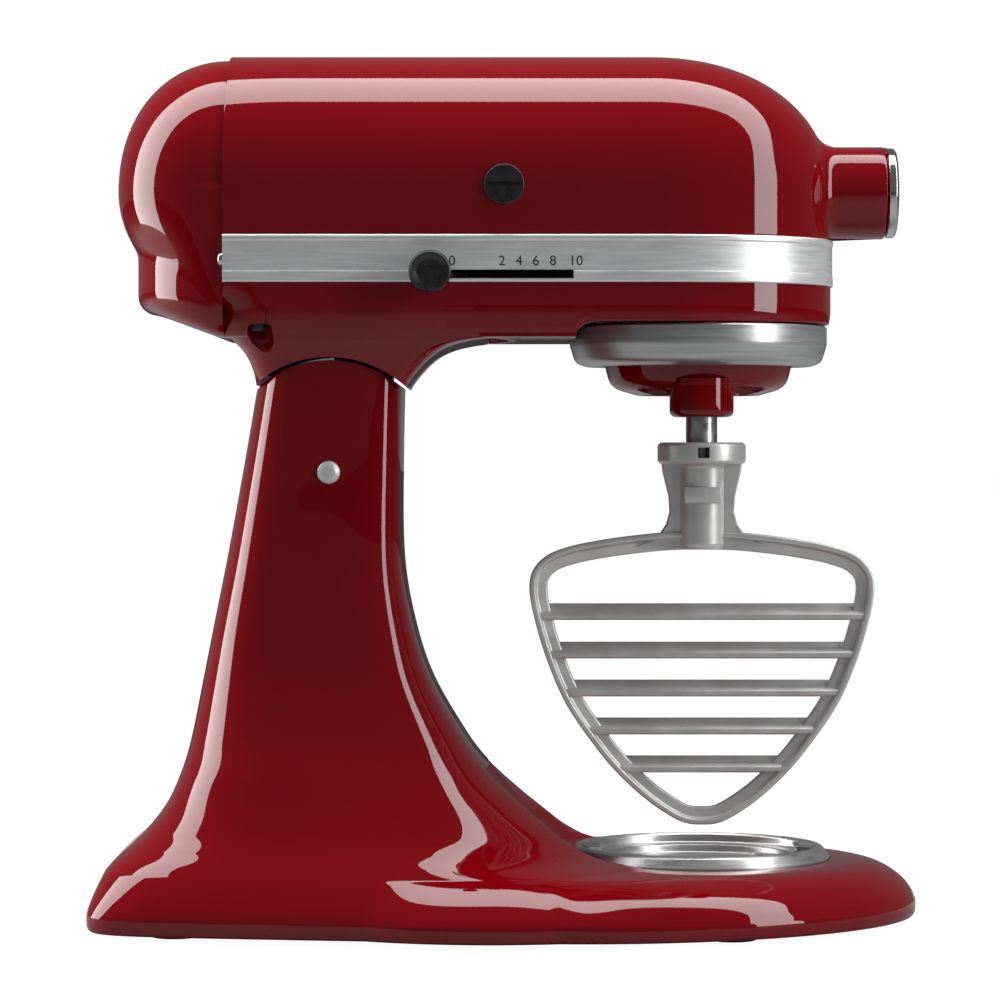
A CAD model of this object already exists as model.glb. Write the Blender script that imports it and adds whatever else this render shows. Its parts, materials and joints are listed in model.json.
"""Looks of the stand mixer: enamelled castings, steel trim, beater and fittings.

Sizes and places are millimetres in the frame of the CAD model: X forward to the hub, Y across, Z up.
"""
import json
import math

import bmesh
import bpy
from mathutils import Matrix, Vector


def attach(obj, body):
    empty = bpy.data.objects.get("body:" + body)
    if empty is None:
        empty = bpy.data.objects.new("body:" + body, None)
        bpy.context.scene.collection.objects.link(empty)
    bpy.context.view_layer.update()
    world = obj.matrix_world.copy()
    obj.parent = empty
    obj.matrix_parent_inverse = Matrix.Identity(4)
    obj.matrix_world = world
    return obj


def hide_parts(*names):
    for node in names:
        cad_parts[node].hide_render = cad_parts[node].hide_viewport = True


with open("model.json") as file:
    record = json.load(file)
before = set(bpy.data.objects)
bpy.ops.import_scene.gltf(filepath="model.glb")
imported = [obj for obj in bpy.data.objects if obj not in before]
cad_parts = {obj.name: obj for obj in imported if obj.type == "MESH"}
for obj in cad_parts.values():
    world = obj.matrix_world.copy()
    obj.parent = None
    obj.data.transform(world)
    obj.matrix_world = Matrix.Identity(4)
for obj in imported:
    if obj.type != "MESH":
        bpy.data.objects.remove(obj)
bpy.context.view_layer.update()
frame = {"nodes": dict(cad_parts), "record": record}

MM = 0.001
HINGE_X, HINGE_Z = -72.0, 184.0
CROWN_R, NECK_R = 45.0, 46.2    # top of the stand, and the hollow of the neck that turns over it
AXIS_Z = 299.0                  # motor and attachment hub
HEAD_R = 56.0
SEAM_X = -114.0                 # between the rear cover and the rest of the head
NOSE_X, NOSE_LENGTH, NOSE_POWER = 58.0, 75.0, 2.15
NOSE_STEPS, FILLET_STEPS = 90, 16
FACE_X = 155.2                  # open end of the attachment hub
BOSS_R = 19.0
BAND_LOW, BAND_HIGH = 260.0, 279.0
LEVER_KNOB_Z = 263.6
BOWL_X, SHAFT_Y = 78.5, -27.75
TURN_STEPS = 160                # round the large turned pieces


# ---- mesh tools ----------------------------------------------------------------------------
def make(name, points, faces, crease=32):
    """A smooth-shaded mesh from points in millimetres; edges sharper than crease stay sharp."""
    mesh = bpy.data.meshes.new(name)
    mesh.from_pydata([(x * MM, y * MM, z * MM) for x, y, z in points], [], faces)
    work = bmesh.new()
    work.from_mesh(mesh)
    bmesh.ops.remove_doubles(work, verts=work.verts, dist=0.00002)
    bmesh.ops.dissolve_degenerate(work, edges=work.edges, dist=0.00001)
    bmesh.ops.recalc_face_normals(work, faces=work.faces)
    work.to_mesh(mesh)
    work.free()
    piece = bpy.data.objects.new(name, mesh)
    bpy.context.scene.collection.objects.link(piece)
    shade(piece, crease)
    return piece


def weld(piece, crease=34):
    """Joins strips along their shared edges."""
    work = bmesh.new()
    work.from_mesh(piece.data)
    bmesh.ops.remove_doubles(work, verts=work.verts, dist=0.00002)
    bmesh.ops.recalc_face_normals(work, faces=work.faces)
    work.to_mesh(piece.data)
    work.free()
    shade(piece, crease)


def shade(piece, crease=32):
    piece.data.polygons.foreach_set("use_smooth", [True] * len(piece.data.polygons))
    piece.data.set_sharp_from_angle(angle=math.radians(crease))


def skin(rings, closed=True, start=False, end=False):
    """Points and faces of a surface through equally long rings of points."""
    count = len(rings[0])
    points = [point for ring in rings for point in ring]
    faces = []
    for row in range(len(rings) - 1):
        for k in range(count if closed else count - 1):
            near = row * count + k
            far = row * count + (k + 1) % count
            faces.append((near, far, far + count, near + count))
    if start:
        faces.append(tuple(range(count)))
    if end:
        faces.append(tuple(range(len(points) - count, len(points))))
    return points, faces


def rounded(corners, steps=5):
    """An open line of (u, v, radius) corners with each corner rounded by its radius."""
    line = [corners[0][:2]]
    for before, here, after in zip(corners, corners[1:], corners[2:]):
        corner = Vector(here[:2])
        back = Vector(before[:2]) - corner
        on = Vector(after[:2]) - corner
        radius = here[2] if len(here) > 2 else 0.0
        if radius <= 0 or back.length < 1e-6 or on.length < 1e-6:
            line.append(tuple(corner))
            continue
        opening = back.angle(on)
        reach = min(radius / math.tan(opening / 2), back.length * 0.49, on.length * 0.49)
        start = corner + back.normalized() * reach
        finish = corner + on.normalized() * reach
        for step in range(steps + 1):
            t = step / steps
            line.append(tuple(start * (1 - t) ** 2 + corner * 2 * t * (1 - t) + finish * t * t))
    line.append(corners[-1][:2])
    return line


def turned(name, corners, axis="Z", centre=(0, 0, 0), steps=96, crease=32):
    """Solid of revolution; corners are (radius, height along the axis, corner radius)."""
    rings = []
    for radius, height in rounded(corners):
        ring = []
        for step in range(steps):
            turn = 2 * math.pi * step / steps
            u, v = radius * math.cos(turn), radius * math.sin(turn)
            local = {"Z": (u, v, height), "Y": (u, height, v), "X": (height, u, v)}[axis]
            ring.append(tuple(c + o for c, o in zip(local, centre)))
        rings.append(ring)
    return make(name, *skin(rings), crease)


def box_mesh(name, low, high, bevel=0.0):
    xs, ys, zs = zip(low, high)
    points = [(x, y, z) for x in xs for y in ys for z in zs]
    faces = [(0, 1, 3, 2), (4, 6, 7, 5), (0, 4, 5, 1), (2, 3, 7, 6), (0, 2, 6, 4), (1, 5, 7, 3)]
    piece = make(name, points, faces)
    if bevel:
        soften(piece, bevel).modifiers[0].harden_normals = False
        apply(piece)
        shade(piece)
    return piece


def soften(piece, width, segments=2, angle=35):
    bevel = piece.modifiers.new("soft_edges", "BEVEL")
    bevel.width = width * MM
    bevel.segments = segments
    bevel.limit_method = "ANGLE"
    bevel.angle_limit = math.radians(angle)
    bevel.harden_normals = True
    return piece


def apply(piece):
    """Bakes a piece's modifiers into its mesh."""
    view = bpy.context.evaluated_depsgraph_get()
    view.update()
    mesh = bpy.data.meshes.new_from_object(piece.evaluated_get(view))
    piece.modifiers.clear()
    piece.data = mesh
    return piece


def cut(piece, tool, operation="DIFFERENCE", crease=32):
    boolean = piece.modifiers.new("cut", "BOOLEAN")
    boolean.operation = operation
    boolean.solver = "EXACT"
    boolean.object = tool
    apply(piece)
    bpy.data.objects.remove(tool)
    shade(piece, crease)
    return piece


def join(name, *pieces):
    """One object from several."""
    work = bmesh.new()
    for piece in pieces:
        work.from_mesh(piece.data)
    mesh = bpy.data.meshes.new(name)
    work.to_mesh(mesh)
    work.free()
    joined = bpy.data.objects.new(name, mesh)
    bpy.context.scene.collection.objects.link(joined)
    for piece in pieces:
        bpy.data.objects.remove(piece)
    return joined


def flow(table, at):
    """Value of a smooth curve through (position, value) pairs, sorted by position."""
    if at <= table[0][0]:
        return table[0][1]
    if at >= table[-1][0]:
        return table[-1][1]
    k = max(i for i in range(len(table) - 1) if table[i][0] <= at)
    slopes = []
    for i in (k, k + 1):
        low, high = max(i - 1, 0), min(i + 1, len(table) - 1)
        slopes.append((table[high][1] - table[low][1]) / (table[high][0] - table[low][0]))
    gap = table[k + 1][0] - table[k][0]
    t = (at - table[k][0]) / gap
    h1, h2, h3, h4 = 2 * t**3 - 3 * t**2 + 1, t**3 - 2 * t**2 + t, -2 * t**3 + 3 * t**2, t**3 - t**2
    return h1 * table[k][1] + h2 * gap * slopes[0] + h3 * table[k + 1][1] + h4 * gap * slopes[1]


def span(start, stop, count):
    """Even steps from start to stop, both included."""
    return [start + (stop - start) * i / count for i in range(count + 1)]


# ---- materials -----------------------------------------------------------------------------
def finish(name, dark, light, metallic=0.0, rough=(0.3, 0.4), grain=(1, 1, 1), scale=60.0,
           bump=0.0, coat=0.0, bump_scale=None, depth=0.0002, specular=0.5):
    """A procedural material: colour and roughness drift over a stretched noise, with fine bump."""
    material = bpy.data.materials.new(name)
    material.use_nodes = True
    nodes, links = material.node_tree.nodes, material.node_tree.links
    shader = nodes["Principled BSDF"]
    shader.inputs["Metallic"].default_value = metallic
    shader.inputs["Coat Weight"].default_value = coat
    shader.inputs["Coat Roughness"].default_value = 0.015
    shader.inputs["Coat IOR"].default_value = 1.42
    shader.inputs["Specular IOR Level"].default_value = specular
    place = nodes.new("ShaderNodeTexCoord")
    stretch = nodes.new("ShaderNodeMapping")
    stretch.inputs["Scale"].default_value = grain
    links.new(place.outputs["Object"], stretch.inputs["Vector"])
    noise = nodes.new("ShaderNodeTexNoise")
    noise.inputs["Scale"].default_value = scale
    noise.inputs["Detail"].default_value = 5.0
    links.new(stretch.outputs["Vector"], noise.inputs["Vector"])
    ramp = nodes.new("ShaderNodeValToRGB")
    ramp.color_ramp.elements[0].position = 0.35
    ramp.color_ramp.elements[1].position = 0.65
    ramp.color_ramp.elements[0].color = (*dark, 1)
    ramp.color_ramp.elements[1].color = (*light, 1)
    links.new(noise.outputs["Fac"], ramp.inputs["Fac"])
    links.new(ramp.outputs["Color"], shader.inputs["Base Color"])
    spread = nodes.new("ShaderNodeMapRange")
    spread.inputs["From Min"].default_value = 0.3
    spread.inputs["From Max"].default_value = 0.7
    spread.inputs["To Min"].default_value = rough[0]
    spread.inputs["To Max"].default_value = rough[1]
    links.new(noise.outputs["Fac"], spread.inputs["Value"])
    links.new(spread.outputs["Result"], shader.inputs["Roughness"])
    if bump:
        fine = nodes.new("ShaderNodeTexNoise")
        fine.inputs["Scale"].default_value = bump_scale or scale * 3
        fine.inputs["Detail"].default_value = 3.0
        links.new(stretch.outputs["Vector"], fine.inputs["Vector"])
        relief = nodes.new("ShaderNodeBump")
        relief.inputs["Strength"].default_value = bump
        relief.inputs["Distance"].default_value = depth
        links.new(fine.outputs["Fac"], relief.inputs["Height"])
        links.new(relief.outputs["Normal"], shader.inputs["Normal"])
    return material


MATERIALS = {
    "red_enamel": finish("red_enamel", (0.150, 0.0002, 0.0030), (0.168, 0.0003, 0.0036), 0, (0.42, 0.5),
                         scale=14, coat=1.0, bump=0.03, bump_scale=420, depth=0.00005, specular=0.0),
    "rubber": finish("rubber", (0.035, 0.035, 0.036), (0.055, 0.055, 0.056), 0, (0.6, 0.75),
                     scale=300, bump=0.3),
    "polished_steel": finish("polished_steel", (0.50, 0.50, 0.49), (0.58, 0.58, 0.57), 1, (0.10, 0.18),
                             scale=40, bump=0.02, bump_scale=700),
    "brushed_trim": finish("brushed_trim", (0.66, 0.67, 0.67), (0.76, 0.77, 0.77), 0.6, (0.34, 0.46),
                           grain=(0.06, 0.06, 1), scale=900, bump=0.05),
    "zinc_screws": finish("zinc_screws", (0.55, 0.55, 0.54), (0.68, 0.68, 0.66), 1, (0.22, 0.34),
                           scale=400, bump=0.05),
    "black_plastic": finish("black_plastic", (0.008, 0.008, 0.009), (0.016, 0.016, 0.017), 0, (0.22, 0.34),
                            scale=250, bump=0.08),
    "black_rubber_gland": finish("black_rubber_gland", (0.01, 0.01, 0.01), (0.02, 0.02, 0.02), 0, (0.5, 0.65),
                                 scale=400, bump=0.2),
    "lever_steel": finish("lever_steel", (0.5, 0.5, 0.49), (0.62, 0.62, 0.6), 1, (0.25, 0.35),
                          scale=500, bump=0.05),
    "cast_aluminium": finish("cast_aluminium", (0.62, 0.62, 0.61), (0.74, 0.74, 0.73), 1, (0.24, 0.36),
                             scale=120, bump=0.12, bump_scale=900),
    "lamination_steel": finish("lamination_steel", (0.16, 0.16, 0.17), (0.36, 0.36, 0.37), 1, (0.4, 0.55),
                               grain=(1, 0.05, 0.05), scale=1400, bump=0.3),
    "copper": finish("copper", (0.45, 0.17, 0.07), (0.68, 0.28, 0.12), 1, (0.28, 0.42), grain=(0.1, 1, 1),
                     scale=900, bump=0.4),
    "bearing_bronze": finish("bearing_bronze", (0.42, 0.27, 0.12), (0.56, 0.37, 0.18), 1, (0.35, 0.5),
                             scale=300, bump=0.1),
    "gear_steel": finish("gear_steel", (0.3, 0.3, 0.31), (0.44, 0.44, 0.45), 1, (0.25, 0.42),
                         scale=200, bump=0.08),
    "motor_plastic": finish("motor_plastic", (0.10, 0.06, 0.04), (0.15, 0.09, 0.06), 0, (0.4, 0.55),
                            scale=220, bump=0.15),
}
BRUSHED_RING = finish("brushed_ring", (0.36, 0.37, 0.37), (0.46, 0.47, 0.47), 0.75, (0.28, 0.4),
                      grain=(0.25, 0.25, 8), scale=120, bump=0.04)
PLATE_STEEL = finish("plate_steel", (0.38, 0.38, 0.38), (0.46, 0.46, 0.46), 0.8, (0.26, 0.36),
                     grain=(1, 1, 6), scale=90)
NUMBER_INK = finish("number_ink", (0.012, 0.012, 0.013), (0.02, 0.02, 0.021), 0, (0.5, 0.6), scale=900)
BEATER_CAST = finish("beater_cast", (0.50, 0.50, 0.495), (0.58, 0.58, 0.575), 0.5, (0.32, 0.44),
                     scale=90, bump=0.10, bump_scale=600)

PIN_STEEL = finish("pin_steel", (0.50, 0.50, 0.50), (0.58, 0.58, 0.58), 0.35, (0.3, 0.4),
                   scale=90, bump=0.02)

slot_of = {entry["node"]: entry["material_slot"] for entry in frame["record"]["subparts"]}
for node, piece in frame["nodes"].items():
    piece.data.materials.clear()
    piece.data.materials.append(MATERIALS[slot_of[node]])


def settle(piece, body, slot, nodes=(), material=None):
    """Gives a finished mesh its material, its body, its slot and the CAD nodes that it stands for."""
    piece.data.materials.clear()
    piece.data.materials.append(material or MATERIALS[slot])
    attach(piece, body)
    if nodes:
        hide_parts(*nodes)
    return piece


# ---- stand ---------------------------------------------------------------------------------
WIDEST_X = 20.0                 # where the base is widest
FRONT_REACH, REAR_REACH = 148.0, 188.0
BASE_CENTRE = -20.0
EDGE_Z, DECK_Z = 8.7, 25.0      # top of the base's upright edge, and its flat top
DECK_INSET = 24.0
OUTLINE_STEPS, RING_STEPS = 1440, 360
SLOT_HALF = 20.5                # of the slot in the column that the head's knuckle sits in
SEAT_R = 54.3                   # of the hollow in the base for the bowl plate


def plan_half(away):
    """Half width of the base this far ahead of its widest place; it tapers to the rear."""
    return 111.1 + 0.0725 * (away - math.sqrt(away**2 + 50**2))


def ease(share):
    """Smooth step from 0 to 1, held at both ends."""
    share = min(max(share, 0), 1)
    return share * share * (3 - 2 * share)


def base_plan(inset):
    """Dense outline of the base, tapering to a round front."""
    outline = []
    for step in range(OUTLINE_STEPS):
        turn = 2 * math.pi * step / OUTLINE_STEPS
        ahead = math.cos(turn) >= 0
        reach, power = (FRONT_REACH, 1.97) if ahead else (REAR_REACH, 12.0)
        away = math.copysign((reach - inset) * abs(math.cos(turn)) ** (2 / power), math.cos(turn))
        half = plan_half(away) - inset
        y = half * math.copysign(abs(math.sin(turn)) ** (2 / power), math.sin(turn))
        outline.append((WIDEST_X + away, y))
    return outline


def polar_ring(outline, centre_x, height):
    """Even polar samples of a closed outline that circles the centre."""
    full = 2 * math.pi
    seen = sorted((math.atan2(y, x - centre_x) % full, math.hypot(x - centre_x, y)) for x, y in outline)
    seen = [(seen[-1][0] - full, seen[-1][1])] + seen + [(seen[0][0] + full, seen[0][1])]
    ring = []
    k = 0
    for step in range(RING_STEPS):
        turn = 2 * math.pi * step / RING_STEPS
        while seen[k + 1][0] < turn:
            k += 1
        gap = seen[k + 1][0] - seen[k][0]
        share = (turn - seen[k][0]) / gap if gap else 0
        radius = seen[k][1] + share * (seen[k + 1][1] - seen[k][1])
        ring.append((centre_x + radius * math.cos(turn), radius * math.sin(turn), height))
    return ring


# height, rear, front, half width and the squareness of the front and rear corners of the column
COLUMN = (
    (25, -161.7, 66, 90.2, 2.3, 7.8), (29, -158, 43, 86.8, 2.4, 6.6), (34, -152.4, 31, 82.5, 2.5, 5.4),
    (40, -146.3, 22, 78, 2.7, 4.5), (50, -139, 8, 72.2, 3.1, 3.7), (63, -133.4, -7, 65.6, 3.5, 3.25),
    (75, -130, -16.5, 59.8, 3.9, 3.0), (100, -125, -31, 51.8, 4.6, 2.9), (125, -120, -39, 48.2, 5.4, 3.0),
    (150, -115, -43, 46.9, 6.0, 3.0), (190, -107.7, -43.4, 46.6, 6.5, 3.1),
    (232, -100.5, -42.5, 46.6, 6.5, 3.2),
)
# height and inset of the rounded border between the base's edge and its flat top
DECK_EDGE = (
    (EDGE_Z, 0), (12.8, 1.9), (16.4, 4.7), (19.4, 8.3), (22.2, 13.0), (24.0, 18.0), (DECK_Z, DECK_INSET),
)


def column_ring(height):
    """The column's section at this height, dense and in order."""
    rear, front, half, front_power, rear_power = (
        flow([(row[0], row[k]) for row in COLUMN], height) for k in range(1, 6))
    middle, reach = (rear + front) / 2, (front - rear) / 2
    fade = 1 - ease((height - DECK_Z) / 50)
    ring = []
    for step in range(OUTLINE_STEPS):
        turn = 2 * math.pi * step / OUTLINE_STEPS
        c, s = math.cos(turn), math.sin(turn)
        power = rear_power + (front_power - rear_power) * ease((1 + c) / 2)
        radius = (abs(c / reach) ** power + abs(s / half) ** power) ** (-1 / power)
        x = middle + radius * c
        taper = plan_half(x - WIDEST_X) / plan_half(HINGE_X)
        ring.append((x, radius * s * (1 + (taper - 1) * fade)))
    return ring, middle


def make_stand():
    edge = polar_ring(base_plan(0), BASE_CENTRE, EDGE_Z)
    deck = polar_ring(base_plan(DECK_INSET), BASE_CENTRE, DECK_Z)
    foot = polar_ring(column_ring(DECK_Z)[0], BASE_CENTRE, DECK_Z)
    # where the column spreads right out to the base's edge, the side rises straight into it
    top = []
    spread = []
    for outer, shelf, inner in zip(edge, deck, foot):
        reach = math.hypot(outer[0] - BASE_CENTRE, outer[1])
        near = math.hypot(shelf[0] - BASE_CENTRE, shelf[1])
        far = math.hypot(inner[0] - BASE_CENTRE, inner[1])
        soft = math.log1p(math.exp((far - near) / 3)) * 3 + near
        share = 1 / (1 + math.exp(-(far - near) / 4))
        top.append(min(soft, reach - 4))
        spread.append((reach, share))
    rings = [[(BASE_CENTRE, 0, 16)] * RING_STEPS, polar_ring(base_plan(16), BASE_CENTRE, 16),
             polar_ring(base_plan(14), BASE_CENTRE, 2.6), polar_ring(base_plan(1.2), BASE_CENTRE, 2.5)]
    for inset, height in ((0.5, 3.2), (0.1, 4.6), (0, 6.6)):
        rings.append(polar_ring(base_plan(inset), BASE_CENTRE, height))
    for height in span(EDGE_Z, DECK_Z, 40):
        level = (height - EDGE_Z) / (DECK_Z - EDGE_Z)
        ring = []
        for k, (reach, share) in enumerate(spread):
            turn = 2 * math.pi * k / RING_STEPS
            shelf_in = flow(DECK_EDGE, height) / DECK_INSET
            side_in = level ** 1.35
            inset = (reach - top[k]) * (share * side_in + (1 - share) * shelf_in)
            radius = reach - inset
            ring.append((BASE_CENTRE + radius * math.cos(turn), radius * math.sin(turn), height))
        rings.append(ring)
    for height in span(DECK_Z + 0.35, 34, 36) + span(34.5, 75, 60) + span(76, 232, 90):
        outline, middle = column_ring(height)
        centre = BASE_CENTRE + (middle - BASE_CENTRE) * ease((height - DECK_Z) / 22)
        rings.append(polar_ring(outline, centre, height))
    stand = make("stand_body", *skin(rings, end=True), 50)
    crown = turned("crown", [(0, -130), (CROWN_R, -130), (CROWN_R, 130), (0, 130)], "Y",
                   (HINGE_X, 0, HINGE_Z), TURN_STEPS)
    below = box_mesh("below", (-220, -130, -5), (220, 130, HINGE_Z))
    cut(crown, below, "UNION")
    cut(stand, crown, "INTERSECT", 50)
    cut(stand, box_mesh("slot", (-97, -SLOT_HALF, 163), (-45.5, SLOT_HALF, 260)), crease=50)
    cut(stand, turned("seat", [
        (0, 22.6), (SEAT_R, 22.6), (SEAT_R, 25.8, 2), (61, 28.5, 8), (72, 38, 20), (94, 64), (0, 64),
    ], "Z", (BOWL_X, 0, 0), TURN_STEPS), crease=50)
    for side in (-1, 1):
        hole = turned("pin_hole", [(0, side * 30), (4.3, side * 30), (4.3, side * 60), (0, side * 60)], "Y",
                      (HINGE_X, 0, HINGE_Z), 40)
        cut(stand, hole, crease=50)
    return stand


settle(make_stand(), "stand", "red_enamel", ("stand_casting",))


def arc_bar(name, section, side, turns):
    """A bar that follows the plate's rim; section is (radius, height), turns are degrees from the side."""
    rings = []
    for step in turns:
        turn = side + math.radians(step)
        rings.append([(BOWL_X + r * math.cos(turn), r * math.sin(turn), z) for r, z in section])
    return make(name, *skin(rings, start=True, end=True), 30)


def make_bowl_plate():
    """Pressed plate with a raised rim and two clips that the bowl's ring turns under."""
    pieces = [turned("bowl_plate_ring", [
        (0, 22.9), (39.0, 22.9, 1), (40.2, 26.0, 0.8), (46.6, 26.4, 1), (47.3, 29.4, 1), (48.4, 30.25, 0.6),
        (50.4, 30.25, 0.9), (51.6, 29.4, 2.5), (54.0, 25.7, 0.5), (54.0, 25.05), (46, 24.9), (45, 21.2),
        (0, 21.2),
    ], "Z", (BOWL_X, 0, 0), TURN_STEPS)]
    clip = ((47.2, 28.5), (47.2, 30.1), (41.8, 30.15), (41.4, 29.5), (41.8, 28.5))
    leg = ((47.2, 26.1), (47.2, 29), (41.8, 29), (41.8, 26.1))
    for side in (0, math.pi):
        pieces.append(arc_bar("clip", clip, side, span(-15, 15, 16)))
        pieces.append(arc_bar("clip_leg", leg, side, span(9, 14, 4)))
    return join("bowl_plate_polished", *pieces)


settle(make_bowl_plate(), "stand", "polished_steel", ("bowl_plate",), PLATE_STEEL)


# ---- head ----------------------------------------------------------------------------------
def nose_point(turn, grow=0.0):
    """Plan outline of the nose: distance forward and half width."""
    reach, half = NOSE_LENGTH + grow, HEAD_R + grow
    c, s = max(math.cos(turn), 0.0), max(math.sin(turn), 0.0)
    return NOSE_X + reach * s ** (2 / NOSE_POWER), half * c ** (2 / NOSE_POWER)


def nose_normal(turn):
    ahead, behind = nose_point(min(turn + 0.002, math.pi / 2)), nose_point(max(turn - 0.002, 0))
    along = Vector((ahead[0] - behind[0], ahead[1] - behind[1]))
    return Vector((-along.y, along.x)).normalized()


def boss_curve(boss, fillet):
    """Side line from the rear seam along the body, over the nose and a fillet to the boss's mouth."""
    line = [(SEAM_X, HEAD_R - 3.5), (SEAM_X, HEAD_R - 0.7)]
    line += [(SEAM_X + 0.2, HEAD_R - 0.2), (SEAM_X + 0.7, HEAD_R)]
    line += [(x, HEAD_R) for x in (-90, -60, -30, 0, 25, 45)]
    low, high = 0.3, math.pi / 2 - 0.001
    for _ in range(40):
        turn = (low + high) / 2
        centre = Vector(nose_point(turn)) + nose_normal(turn) * fillet
        low, high = (turn, high) if centre.y > boss + fillet else (low, turn)
    line += [nose_point(t) for t in span(0, turn, NOSE_STEPS)]
    centre = Vector(nose_point(turn)) + nose_normal(turn) * fillet
    start = math.atan2(*reversed(-nose_normal(turn)))
    for t in span(start, -math.pi / 2, FILLET_STEPS):
        line.append((centre.x + fillet * math.cos(t), centre.y + fillet * math.sin(t)))
    line += [(x, boss) for x in (FACE_X - 3, FACE_X - 0.9)]
    return line


# open end and bore of the attachment hub, as forward distance and radius
MOUTH = ((FACE_X - 0.3, BOSS_R - 0.25), (FACE_X, BOSS_R - 0.9), (FACE_X, 15.0), (FACE_X - 0.7, 14.3),
         (121.5, 14.3), (121.5, 12.6))
SIDE_POINTS = 10                # points of a side line behind the nose


def make_housing():
    """The upper housing: flat lower sides, a half-round top and the hub's boss blended into the nose."""
    rows = []
    lower_steps = 24
    top_line = boss_curve(BOSS_R, 10.0)
    keep = SIDE_POINTS + NOSE_STEPS + 1 + FILLET_STEPS + 1
    for side in (1, -1):
        part = []
        closed = [(x, min(y, HEAD_R)) for x, y in boss_curve(0.0, 2.0)[:SIDE_POINTS]]
        closed += [nose_point(t) for t in span(0, math.pi / 2, NOSE_STEPS)]
        closed += [(NOSE_X + NOSE_LENGTH, 0.0)] * (FILLET_STEPS + 1 + 2 + len(MOUTH))
        part.append([(x, y - 3 if y > 3 else 0, 278.6) for x, y in closed])
        part.append([(x, max(y - 0.25, 0), 278.7) for x, y in closed])
        part.append([(x, y, 279.2) for x, y in closed])
        for step in range(lower_steps, 0, -1):
            tilt = math.pi / 2 * step / lower_steps
            boss = BOSS_R * math.cos(tilt)
            height = AXIS_Z - BOSS_R * math.sin(tilt)
            row = [(x, y, height) for x, y in boss_curve(boss, 2 + 8 * boss / BOSS_R)]
            row += [(x, r * math.cos(tilt), AXIS_Z - r * math.sin(tilt)) for x, r in MOUTH]
            part.append(row)
        part = [[(x, side * y, z) for x, y, z in row] for row in part]
        rows.append(part)
    upper = []
    for tilt in span(0, math.pi, 120):
        row = [(x, y * math.cos(tilt), AXIS_Z + y * math.sin(tilt)) for x, y in top_line]
        row += [(x, r * math.cos(tilt), AXIS_Z + r * math.sin(tilt)) for x, r in MOUTH]
        upper.append(row)
    rings = rows[0] + upper + rows[1][::-1]
    points, faces = skin(rings, closed=False)
    count = len(rings[0])
    last = len(rings) - 1
    kept = []
    for face in faces:
        row, k = divmod(face[0], count)
        edge = row < 3 or row >= last - 3
        if not edge or k < keep:
            kept.append(face)
    return make("upper_housing_shell", points, kept, 34)


settle(make_housing(), "head", "red_enamel", ("upper_housing",))


# height, rear, front, half width and the rear and front corner radii of the neck's sections
NECK = (
    (208, -101.2, -41.8, 46.6, 16, 7), (213, -101.3, -41.7, 46.7, 16, 7), (217, -101.6, -41.2, 46.9, 16, 7),
    (219.5, -102, -40.2, 47.2, 16.5, 7), (223, -102.6, -37.8, 47.8, 17, 7), (226, -103.5, -35.2, 48.6, 17, 7),
    (229.5, -105, -31.8, 49.8, 18, 7), (233, -107.2, -27, 51.2, 19, 7), (235.6, -109.6, -20.5, 52.4, 20, 7),
    (237, -111.2, -14, 53, 21, 7), (238, -112.2, -8, 53.3, 21, 7), (242, -113.4, -7, 54.7, 22, 7),
    (246, -113.7, -7, 55.6, 22, 7), (250, -113.7, -7, 56, 22, 7),
)
NECK_REAR, NECK_FRONT = -97.0, -24.5    # the neck's flat sides grow out of the case between these
CASE_FLOOR = 238.0
NOSE_FLOOR = 244.5
RISE_X = 27.0                           # where the case's floor begins to rise toward the nose
ROOM_R = 54.3                           # of the room under the nose for the planetary and its drip ring


def side_ease(height):
    """How far the lower side has eased in from the full width at this height."""
    return HEAD_R - flow([(row[0], row[3]) for row in NECK], height)


def case_column(x, y, nx, ny, neck):
    """Points down the outside of the gear case at one place of its plan outline, whose normal is (nx, ny)."""
    rise = min(max((x - RISE_X) / 9, 0), 1)
    bottom = CASE_FLOOR + (NOSE_FLOOR - CASE_FLOOR) * math.sqrt(1 - (1 - rise) ** 2)
    rear = min(max((NECK_REAR - x) / 14, 0), 1)
    corner = 5 - 4.2 * rise + 3 * rear
    top = BAND_LOW + 0.6
    column = [(x - 3 * nx, y - 3 * ny, top), (x, y, top), (x, y, 256)]
    if neck:
        return column + [(x, y, 253), (x, y, 250), (x, y - 2, 250)]
    for height in span(252, bottom + corner, 5):
        inset = side_ease(height)
        column.append((x - inset * nx, y - inset * ny, height))
    for turn in span(0, math.pi / 2, 8)[1:]:
        inset = side_ease(bottom + corner) + corner * (1 - math.cos(turn))
        column.append((x - inset * nx, y - inset * ny, bottom + corner - corner * math.sin(turn)))
    # the floor ends at the round room for the planetary
    if x < BOWL_X - ROOM_R:
        inner = (x, 0.0)
    elif x < RISE_X + 10:
        inner = (x, math.sqrt(max(ROOM_R**2 - (BOWL_X - x) ** 2, 0)))
    else:
        away = Vector((x - BOWL_X, y))
        inner = (BOWL_X + away.x * 50 / away.length, away.y * 50 / away.length)
    column += [(*inner, bottom), (*inner, max(bottom, NOSE_FLOOR) + 0.4), (*inner, 246)]
    return column


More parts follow.
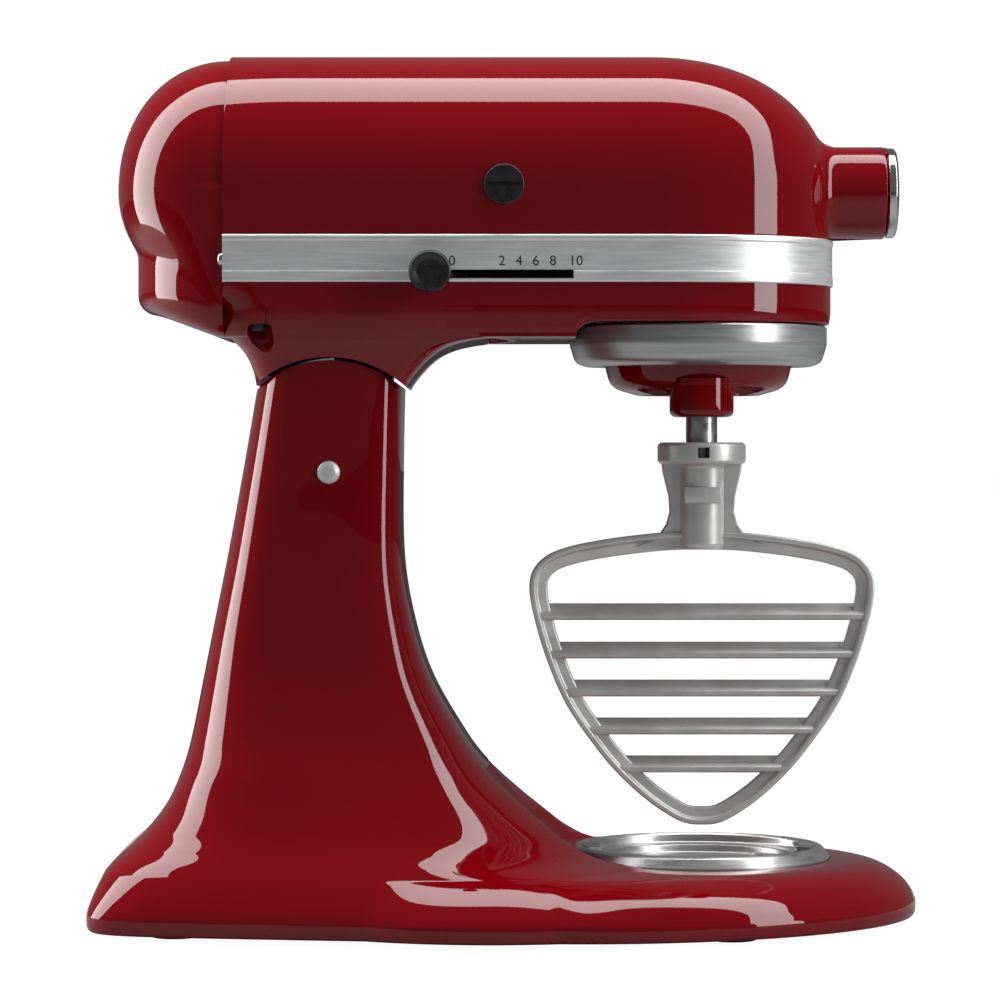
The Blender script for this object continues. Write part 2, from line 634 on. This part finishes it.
def make_gear_case():
    pieces = []
    nose = []
    for turn in span(0, math.pi / 2, NOSE_STEPS):
        x, y = nose_point(turn)
        normal = nose_normal(turn) if turn < math.pi / 2 - 0.01 else Vector((1, 0))
        nose.append((x, y, normal.x, normal.y))
    ahead = [NECK_FRONT, -18, -12, -4, 4, 12, 18, 22, 24.3, 26, 27] + span(27.01, 36, 14) + [38, 44, 51]
    strips = (
        ([(x, HEAD_R, 0.0, 1.0) for x in span(NECK_REAR, NECK_FRONT, 8)], True),
        ([(x, HEAD_R, 0.0, 1.0) for x in ahead] + nose, False),
    )
    for places, neck in strips:
        columns = [case_column(*place, neck) for place in places]
        for side in (1, -1):
            rings = [[(x, side * y, z) for x, y, z in column] for column in columns]
            pieces.append(make("strip", *skin(rings, closed=False), 34))
    shell = join("gear_case_shell", *pieces)
    weld(shell)
    return join("gear_case_body", shell, make_case_rear(), make_neck())


def scoop():
    """Tool for the hollow in the neck's rear corner that the cord would leave through."""
    return turned("scoop", [(0, 229), (3.4, 230.5, 3), (5.4, 236, 3), (5.2, 243.2, 1.5), (0, 243.6)], "Z",
                  (-99, -51.8, 0), 64)


def make_case_rear():
    """The gear case behind the neck's flat sides; its sides turn in toward the rear cover."""
    sections = []
    for x in span(SEAM_X, NECK_REAR + 0.02, 30):
        away = max(NECK_REAR - x, 0)
        turn_in = 24 - math.sqrt(24**2 - away**2)
        section = []
        for px, y, z in case_column(x, HEAD_R, 0.0, 1.0, False)[1:]:
            section.append((px, max(y - turn_in * ease((255 - z) / 6), 0), z))
        section = section[:-2]
        sections.append(section[:-1] + [(px, -y, z) for px, y, z in section[:-1][::-1]])
    rear = make("case_rear", *skin(sections, start=True, end=True), 34)
    return cut(rear, scoop(), crease=40)


def round_box_ring(rear, front, half, rear_corner, front_corner, height, steps=14):
    ring = []
    middles = ((front - front_corner, half - front_corner, front_corner, 0),
               (rear + rear_corner, half - rear_corner, rear_corner, 90),
               (rear + rear_corner, -half + rear_corner, rear_corner, 180),
               (front - front_corner, -half + front_corner, front_corner, 270))
    for cx, cy, corner, turn in middles:
        for step in range(steps + 1):
            angle = math.radians(turn + 90 * step / steps)
            ring.append((cx + corner * math.cos(angle), cy + corner * math.sin(angle), height))
    return ring


def make_neck():
    rings = []
    for height in span(208, 232, 40) + span(232.3, 238, 24) + span(239, 250, 11):
        sizes = [flow([(row[0], row[k]) for row in NECK], height) for k in range(1, 6)]
        rings.append(round_box_ring(*sizes, height))
    neck = make("neck", *skin(rings, start=True, end=True), 40)
    cut(neck, scoop(), crease=40)
    cut(neck, turned("crown_room", [(0, -70), (NECK_R, -70), (NECK_R, 70), (0, 70)], "Y",
                     (HINGE_X, 0, HINGE_Z), 200))
    half = SLOT_HALF - 1
    knuckle = turned("knuckle", [
        (4.1, -half), (18.4, -half), (19, -half + 0.6), (19, half - 0.6), (18.4, half), (4.1, half),
    ], "Y", (HINGE_X, 0, HINGE_Z), 72)
    tongue = box_mesh("tongue", (HINGE_X + 1, -half, HINGE_Z), (HINGE_X + 24.5, half, 236), 0.8)
    return join("neck_and_tongue", neck, knuckle, tongue)


def make_gland():
    return turned("gland_rubber", [
        (1.9, 247), (3.2, 247, 0.4), (3.2, 241.4, 0.9), (2.7, 240.6, 0.5), (2.1, 240.8, 0.3), (1.9, 242),
        (1.9, 247),
    ], "Z", (-100, -49.4, 0), 48)


settle(make_gear_case(), "head", "red_enamel", ("gear_case",))
settle(make_gland(), "head", "black_rubber_gland", ("cord_gland",))


def make_rear_cover():
    reach, half, low_reach = 46.5, HEAD_R - 1.6, 38.4
    turns = span(0, math.pi / 2, 72)

    def outline(turn, ahead, across, power):
        c, s = math.cos(turn), math.sin(turn)
        radius = (abs(c / ahead) ** power + abs(s / across) ** power) ** (-1 / power)
        return radius * c, radius * s

    dome = [outline(t, reach, half, 2.12) for t in turns]
    rows = {1: [], -1: []}
    for side in (1, -1):
        skirt_rows = []
        for height in span(AXIS_Z, 246, 44) + [-1, -2, -3, -4, -5, -6, -7, -8]:
            row = []
            for k, turn in enumerate(turns):
                skirt = outline(turn, low_reach, half, 1.95)
                radius = math.hypot(*skirt)
                direction = (skirt[0] / radius, skirt[1] / radius)
                foot = 238.2 + max(-(SEAM_X - radius * direction[0]) - 117, 0) * 0.284
                fall = 7 + 5 * math.sin(turn)
                if height > 0:
                    share = (AXIS_Z - height) / half
                    shrink = math.sqrt(max(1 - share**2, 0))
                    ball = outline(turn, reach * max(shrink, 0.02), half, 2.12)
                    wide = math.hypot(*ball)
                    radius = radius + math.log1p(math.exp((wide - radius) / 0.8)) * 0.8
                    level = AXIS_Z - (AXIS_Z - height) * (AXIS_Z - foot - fall) / (AXIS_Z - 246)
                else:
                    bend = math.pi / 2 * min(-height, 7) / 7
                    inset = (9 + 5 * math.sin(turn)) * (1 - math.cos(bend))
                    level = foot + fall - fall * math.sin(bend)
                    radius = radius - inset if height > -8 else 0.0
                x = SEAM_X - radius * direction[0]
                y = radius * direction[1]
                row.append((x, side * y, level))
            skirt_rows.append(row)
        rows[side] = skirt_rows
    upper = []
    for tilt in span(0, math.pi, 120):
        upper.append([(SEAM_X - a, r * math.cos(tilt), AXIS_Z + r * math.sin(tilt)) for a, r in dome])
    rings = rows[1][::-1][:-1] + upper + rows[-1][1:]
    edge = []
    for ring in rings:
        x, y, z = ring[-1]
        out = Vector((0, y, z - 285)) * 0.93
        edge.append((x, out.y, out.z + 285))
    rings = [ring + [rim] for ring, rim in zip(rings, edge)]
    return make("rear_cover_shell", *skin(rings, closed=False), 40)


settle(make_rear_cover(), "head", "red_enamel", ("rear_cover",))


def make_band():
    """Steel band with a raised upper border, a lower strip and the two lever slots."""
    section = rounded([
        (-1.0, BAND_LOW), (0.75, BAND_LOW, 0.3), (0.95, 260.6, 0.2), (0.95, 264.2, 0.2), (0.7, 264.6, 0.15),
        (0.7, 276.4, 0.15), (1.1, 276.9, 0.3), (1.1, 278.5, 0.4), (0.6, BAND_HIGH, 0.2), (-1.0, BAND_HIGH),
    ], 3)
    plan = [(SEAM_X, HEAD_R, (0.0, 1.0)), (SEAM_X + 0.4, HEAD_R, (0.0, 1.0))]
    plan += [(x, HEAD_R, (0.0, 1.0)) for x in span(-100, 50, 15)]
    for turn in span(0, math.pi / 2, NOSE_STEPS):
        x, y = nose_point(turn)
        normal = nose_normal(turn) if turn < math.pi / 2 - 0.01 else Vector((1, 0))
        plan.append((x, y, (normal.x, normal.y)))
    rings = [[(x + o * nx, y + o * ny, z) for o, z in section] for x, y, (nx, ny) in plan]
    mirror = [[(x, -y, z) for x, y, z in ring] for ring in rings]
    band = make("trim_band_steel", *skin(rings + mirror[::-1], start=True, end=True), 28)
    cut(band, box_mesh("near_slot", (-27, -70, 261.4), (26, -45, 264.9)), crease=28)
    cut(band, box_mesh("far_slot", (-64, 45, 261.4), (-32, 70, 264.9)), crease=28)
    return band


settle(make_band(), "head", "brushed_trim", ("trim_band",))

for number, x in (("0", -22.4), ("2", -2.5), ("4", 4.3), ("6", 11.0), ("8", 17.8), ("10", 27.0)):
    text = bpy.data.curves.new(f"speed_number_{number}", "FONT")
    text.body = number
    text.size = 5.6 * MM
    text.align_x = "CENTER"
    text.extrude = 0.04 * MM
    piece = bpy.data.objects.new(f"speed_number_{number}", text)
    bpy.context.scene.collection.objects.link(piece)
    place = Matrix.Translation((x * MM, -(HEAD_R + 0.72) * MM, 266.6 * MM))
    piece.matrix_world = place @ Matrix.Rotation(math.pi / 2, 4, "X")
    bpy.context.view_layer.update()
    mesh = bpy.data.meshes.new_from_object(piece)
    mesh.transform(piece.matrix_world)
    solid = bpy.data.objects.new(f"speed_mark_{number}", mesh)
    bpy.context.scene.collection.objects.link(solid)
    bpy.data.objects.remove(piece)
    settle(solid, "head", "black_plastic", material=NUMBER_INK)


def make_brush_caps():
    caps = []
    for side in (-1, 1):
        cap = turned("cap", [
            (0, side * 52), (8.0, side * 52), (8.0, side * 57.4, 0.5), (0, side * 57.4),
        ], "Y", (-1.6, 0, AXIS_Z), 64)
        cut(cap, box_mesh("slot", (-8.1, min(side * 56.2, side * 60), AXIS_Z - 0.8),
                          (4.9, max(side * 56.2, side * 60), AXIS_Z + 0.8)))
        caps.append(cap)
    return join("brush_cap_pair", *caps)


settle(make_brush_caps(), "head", "black_plastic", ("brush_caps",))

settle(turned("drip_ring_shell", [
    (49.2, 243.9), (52.2, 243.9, 0.4), (53.0, 243.2, 0.4), (53.0, 236, 6), (50.8, 228.8, 5), (46.5, 227.3, 2),
    (39.8, 227.3, 0.4), (39.8, 228.6), (47, 228.7), (49.2, 230.2), (49.2, 243.9),
], "Z", (BOWL_X, 0, 0), TURN_STEPS), "head", "brushed_trim", ("drip_ring",), BRUSHED_RING)


def make_planetary():
    disc = turned("disc", [
        (0, 215.4), (25, 215.4, 6), (36.2, 218.6, 11), (38.6, 228.0, 3), (38.6, 229.3, 0.4), (37.8, 229.3),
        (12, 229.3), (12, 232), (0, 232),
    ], "Z", (BOWL_X, 0, 0), TURN_STEPS)
    for side in (-1, 1):
        cut(disc, turned("pocket", [(0, 200), (9.5, 200), (9.5, 218.7, 3), (0, 218.7)], "Z",
                         (BOWL_X + side * 19.5, SHAFT_Y + 2, 0), 48))
    boss = turned("boss", [
        (6.5, 222), (6.5, 206.8, 0.3), (7, 206.3), (13, 206.3, 3), (13, 222), (6.5, 222),
    ], "Z", (BOWL_X, SHAFT_Y, 0), 96)
    return join("planetary_casting", disc, boss)


settle(make_planetary(), "planetary", "red_enamel", ("planetary",))


def make_knob(name, x, side, body, node):
    near, far = side * 61.0, side * 71.4
    knob = turned(name, [
        (0, near), (5.5, near, 0.5), (7.8, near + side * 2.5, 2), (8.5, far - side * 1.4, 0.8), (7.7, far, 0.5),
        (5.2, far - side * 1.2, 2), (0, far - side * 1.9),
    ], "Y", (x, 0, LEVER_KNOB_Z), 64)
    settle(knob, body, "black_plastic", (node,))


make_knob("speed_grip", -31.0, -1, "speed_control", "speed_knob")
make_knob("lock_grip", -57.0, 1, "head_lock", "lock_knob")


def make_hub_cover():
    cap = turned("cap", [
        (0, 155.5), (17.6, 155.5, 0.2), (18.5, 156.2, 0.3), (18.5, 158.9, 0.9), (17.2, 159.9, 1.5),
        (9, 160.35, 6), (0, 160.4),
    ], "X", (0, 0, AXIS_Z), 128)
    ear = box_mesh("ear", (151.0, -3.9, 313.4), (156.2, 3.9, 317.6), 0.5)
    return join("hub_cap_steel", cap, ear)


settle(make_hub_cover(), "hub_cover", "polished_steel", ("hub_cover",))


# half outline of the beater: distance from its axis and height, from the tip up
RIM = ((0, 41.2), (4, 41.3), (9, 42.6), (16.5, 46.9), (24.3, 52.7), (33.8, 61.5), (42.2, 71.3), (54.8, 89.5),
       (62.9, 108), (68.2, 126), (69.9, 137), (68.4, 144.3), (62.8, 150.2), (53, 154), (40, 156.6), (27, 158.4),
       (13, 159.7), (0, 160))
BLADE_HEIGHTS = (127.6, 112.0, 96.6, 81.2, 65.8)
BLADE_TILT = 38


def rim_line(count):
    """Even samples of half the beater's outline, as (x, height, inward x, inward height)."""
    lengths = [0.0]
    for before, here in zip(RIM, RIM[1:]):
        lengths.append(lengths[-1] + math.dist(before, here))
    across = list(zip(lengths, [x for x, _ in RIM]))
    up = list(zip(lengths, [z for _, z in RIM]))
    line = []
    step = 0.4
    for at in span(0, lengths[-1], count):
        ahead, behind = min(at + step, lengths[-1]), max(at - step, 0)
        along = Vector((flow(across, ahead) - flow(across, behind), flow(up, ahead) - flow(up, behind)))
        along.normalize()
        if at <= step or at >= lengths[-1] - step:
            along = Vector((math.copysign(1, along.x), 0))
        line.append((flow(across, at), flow(up, at), -along.y, along.x))
    return line


def make_beater():
    """Cast beater: a flanged rim, five slanted blades, the hub and its two ribs."""
    section = rounded([
        (0, 0), (0, 2.0), (0.1, 4.3, 0.8), (2.3, 4.4, 0.9), (3.0, 2.5, 1.1), (7.2, 2.0, 0.9), (7.4, 0),
        (7.2, -2.0, 0.9), (3.0, -2.5, 1.1), (2.3, -4.4, 0.9), (0.1, -4.3, 0.8), (0, -2.0), (0, 0),
    ], 3)[:-1]
    half = rim_line(110)
    line = half + [(-x, z, -nx, nz) for x, z, nx, nz in half[::-1][1:-1]]
    rings = [[(BOWL_X + x + n * nx, SHAFT_Y + y, z + n * nz) for n, y in section] for x, z, nx, nz in line]
    pieces = [make("rim", *skin(rings + [rings[0]]), 40)]
    bar = rounded([
        (-4.4, -1.0), (-4.6, 0.2, 0.6), (-3.6, 1.3, 0.8), (3.4, 1.1, 0.8), (4.6, 0.4, 0.5), (4.5, -0.9, 0.5),
        (0, -1.2, 2), (-4.4, -1.0),
    ], 3)[:-1]
    tilt = Matrix.Rotation(math.radians(BLADE_TILT), 2)
    slanted = [tilt @ Vector(corner) for corner in bar]
    for height in BLADE_HEIGHTS:
        half_width = min(x for x, z, _, _ in half if abs(z - height) < 4.2) - 2.0
        rings = []
        for x in span(-half_width, half_width, 24):
            rings.append([(BOWL_X + x, SHAFT_Y + a, height + b) for a, b in slanted])
        pieces.append(make("blade", *skin(rings, start=True, end=True), 40))
    hub = turned("hub", [
        (6.6, 157), (6.6, 153.4, 0.3), (8.6, 152.6, 0.8), (9.4, 155, 1), (9.4, 186, 1.5), (10.5, 187.4, 1),
        (17.0, 187.4, 0.9), (17.9, 188.6, 0.8), (17.9, 195.0, 1.1), (16.6, 196.1, 0.8), (6.6, 196.1, 0.4),
        (6.6, 157),
    ], "Z", (BOWL_X, SHAFT_Y, 0), 72)
    cut(hub, box_mesh("pin_way", (BOWL_X - 2.3, SHAFT_Y - 30, 189.8), (BOWL_X + 2.3, SHAFT_Y + 30, 194.0)))
    pieces.append(hub)
    edge = ((16.4, 188), (15.9, 184), (14.9, 180), (13.5, 174), (13.1, 168), (14.4, 163), (17.4, 158.5),
            (22, 155.5), (27, 154))
    outline = [(7, 188), *edge, (7, 153)]
    for side in (-1, 1):
        rings = []
        for depth, shrink in ((-3.2, 0.7), (-2.6, 0.1), (2.6, 0.1), (3.2, 0.7)):
            inset = [(x - shrink if x > 8 else x, z) for x, z in outline]
            rings.append([(BOWL_X + side * x, SHAFT_Y + depth, z) for x, z in inset])
        pieces.append(make("rib", *skin(rings, start=True, end=True), 40))
        near, far = sorted((SHAFT_Y + side * 6, SHAFT_Y + side * 10.4))
        pieces.append(box_mesh("pad", (BOWL_X - 7.5, near, 171.6), (BOWL_X + 7.5, far, 178.2), 0.7))
    return join("beater_casting", *pieces)


settle(make_beater(), "agitator", "cast_aluminium", ("pastry_beater",), BEATER_CAST)


def make_pin_ends():
    ends = []
    for side in (-1, 1):
        ends.append(turned("end", [
            (0, side * 20), (4.1, side * 20), (4.1, side * 46.5, 0.2), (4.7, side * 46.7, 0.4),
            (4.3, side * 47.8, 0.8), (2.6, side * 48.8, 2), (0, side * 49.1),
        ], "Y", (HINGE_X, 0, HINGE_Z), 48))
    return join("hinge_pin_steel", *ends)


settle(make_pin_ends(), "stand", "polished_steel", ("hinge_pin",), PIN_STEEL)


for node in ("bowl_plate_screws", "trim_screws", "rear_cover_screw", "feet", "speed_lever", "lock_lever",
             "attachment_knob"):
    soften(frame["nodes"][node], 0.35)


# ---- floor, light, camera; distances in metres ---------------------------------------------
floor_mesh = bpy.data.meshes.new("floor")
floor_mesh.from_pydata([(x, y, 0) for x, y in ((-30, -30), (30, -30), (30, 30), (-30, 30))], [], [(0, 1, 2, 3)])
floor = bpy.data.objects.new("floor", floor_mesh)
bpy.context.scene.collection.objects.link(floor)
pale = finish("pale_floor", (0.26, 0.26, 0.26), (0.28, 0.28, 0.28), 0, (0.75, 0.85), scale=2, specular=0.1)
# the floor is white to the camera, and dim in the enamel's reflections
floor_tree = pale.node_tree
floor_shader = floor_tree.nodes["Principled BSDF"]
seen = floor_tree.nodes.new("ShaderNodeLightPath")
lift = floor_tree.nodes.new("ShaderNodeMath")
lift.operation = "MULTIPLY"
lift.inputs[1].default_value = 0.96
floor_tree.links.new(seen.outputs["Is Camera Ray"], lift.inputs[0])
floor_tree.links.new(lift.outputs["Value"], floor_shader.inputs["Emission Strength"])
floor_shader.inputs["Emission Color"].default_value = (1, 1, 1, 1)
floor.data.materials.append(pale)


# one long strip light bends from the rear left over the top to the front right: its path and width
STRIP = (
    (-1.62, 0.36, 0.0, 1.02), (-1.60, 0.32, 0.45, 0.98), (-1.55, 0.27, 0.85, 0.94), (-1.45, 0.21, 1.20, 0.90),
    (-1.25, 0.15, 1.50, 0.84), (-0.95, 0.10, 1.69, 0.80), (-0.5, 0.08, 1.75, 0.78), (0.2, 0.08, 1.75, 0.78),
    (0.75, 0.04, 1.72, 0.76), (1.02, -0.10, 1.62, 0.70), (1.20, -0.32, 1.42, 0.62), (1.29, -0.56, 1.15, 0.54),
    (1.30, -0.70, 0.85, 0.50), (1.30, -0.76, 0.50, 0.50), (1.30, -0.78, 0.10, 0.50),
)
STRIP_STEPS = 6
STRIP_GLOW = 8.2


def make_strip_light():
    """A glowing strip that lights the object and shows in its enamel, but not to the camera."""
    order = list(range(len(STRIP)))
    rails = []
    for at in span(0, len(STRIP) - 1, (len(STRIP) - 1) * STRIP_STEPS):
        x, y, z, width = (flow([(k, STRIP[k][part]) for k in order], at) for part in range(4))
        rails.append([(x, y - width / 2, z), (x, y + width / 2, z)])
    points, faces = skin(rails, closed=False)
    mesh = bpy.data.meshes.new("strip_light")
    mesh.from_pydata(points, [], faces)
    strip = bpy.data.objects.new("strip_light", mesh)
    bpy.context.scene.collection.objects.link(strip)
    glow = bpy.data.materials.new("strip_glow")
    glow.use_nodes = True
    shader = glow.node_tree.nodes["Principled BSDF"]
    shader.inputs["Base Color"].default_value = (0, 0, 0, 1)
    shader.inputs["Emission Color"].default_value = (1, 1, 1, 1)
    shader.inputs["Emission Strength"].default_value = STRIP_GLOW
    strip.data.materials.append(glow)
    strip.visible_camera = False


make_strip_light()

world = bpy.data.worlds.new("studio")
bpy.context.scene.world = world
world.use_nodes = True
tree = world.node_tree
back = tree.nodes["Background"]
rays = tree.nodes.new("ShaderNodeLightPath")
mix = tree.nodes.new("ShaderNodeMix")
mix.data_type = "RGBA"
tree.links.new(rays.outputs["Is Camera Ray"], mix.inputs["Factor"])
mix.inputs["A"].default_value = (0.15, 0.15, 0.155, 1)
mix.inputs["B"].default_value = (1.05, 1.05, 1.05, 1)
tree.links.new(mix.outputs["Result"], back.inputs["Color"])
back.inputs["Strength"].default_value = 1.0
bpy.context.scene.view_settings.view_transform = "Standard"

camera_data = bpy.data.cameras.new("camera")
camera_data.sensor_width = 36
camera_data.lens = 137.7
camera_data.shift_y = -0.05
camera_data.clip_end = 100
camera = bpy.data.objects.new("camera", camera_data)
bpy.context.scene.collection.objects.link(camera)
camera.location = (-0.0033, -1.58, 0.193)
camera.rotation_euler = (math.pi / 2, 0, 0)
bpy.context.scene.camera = camera
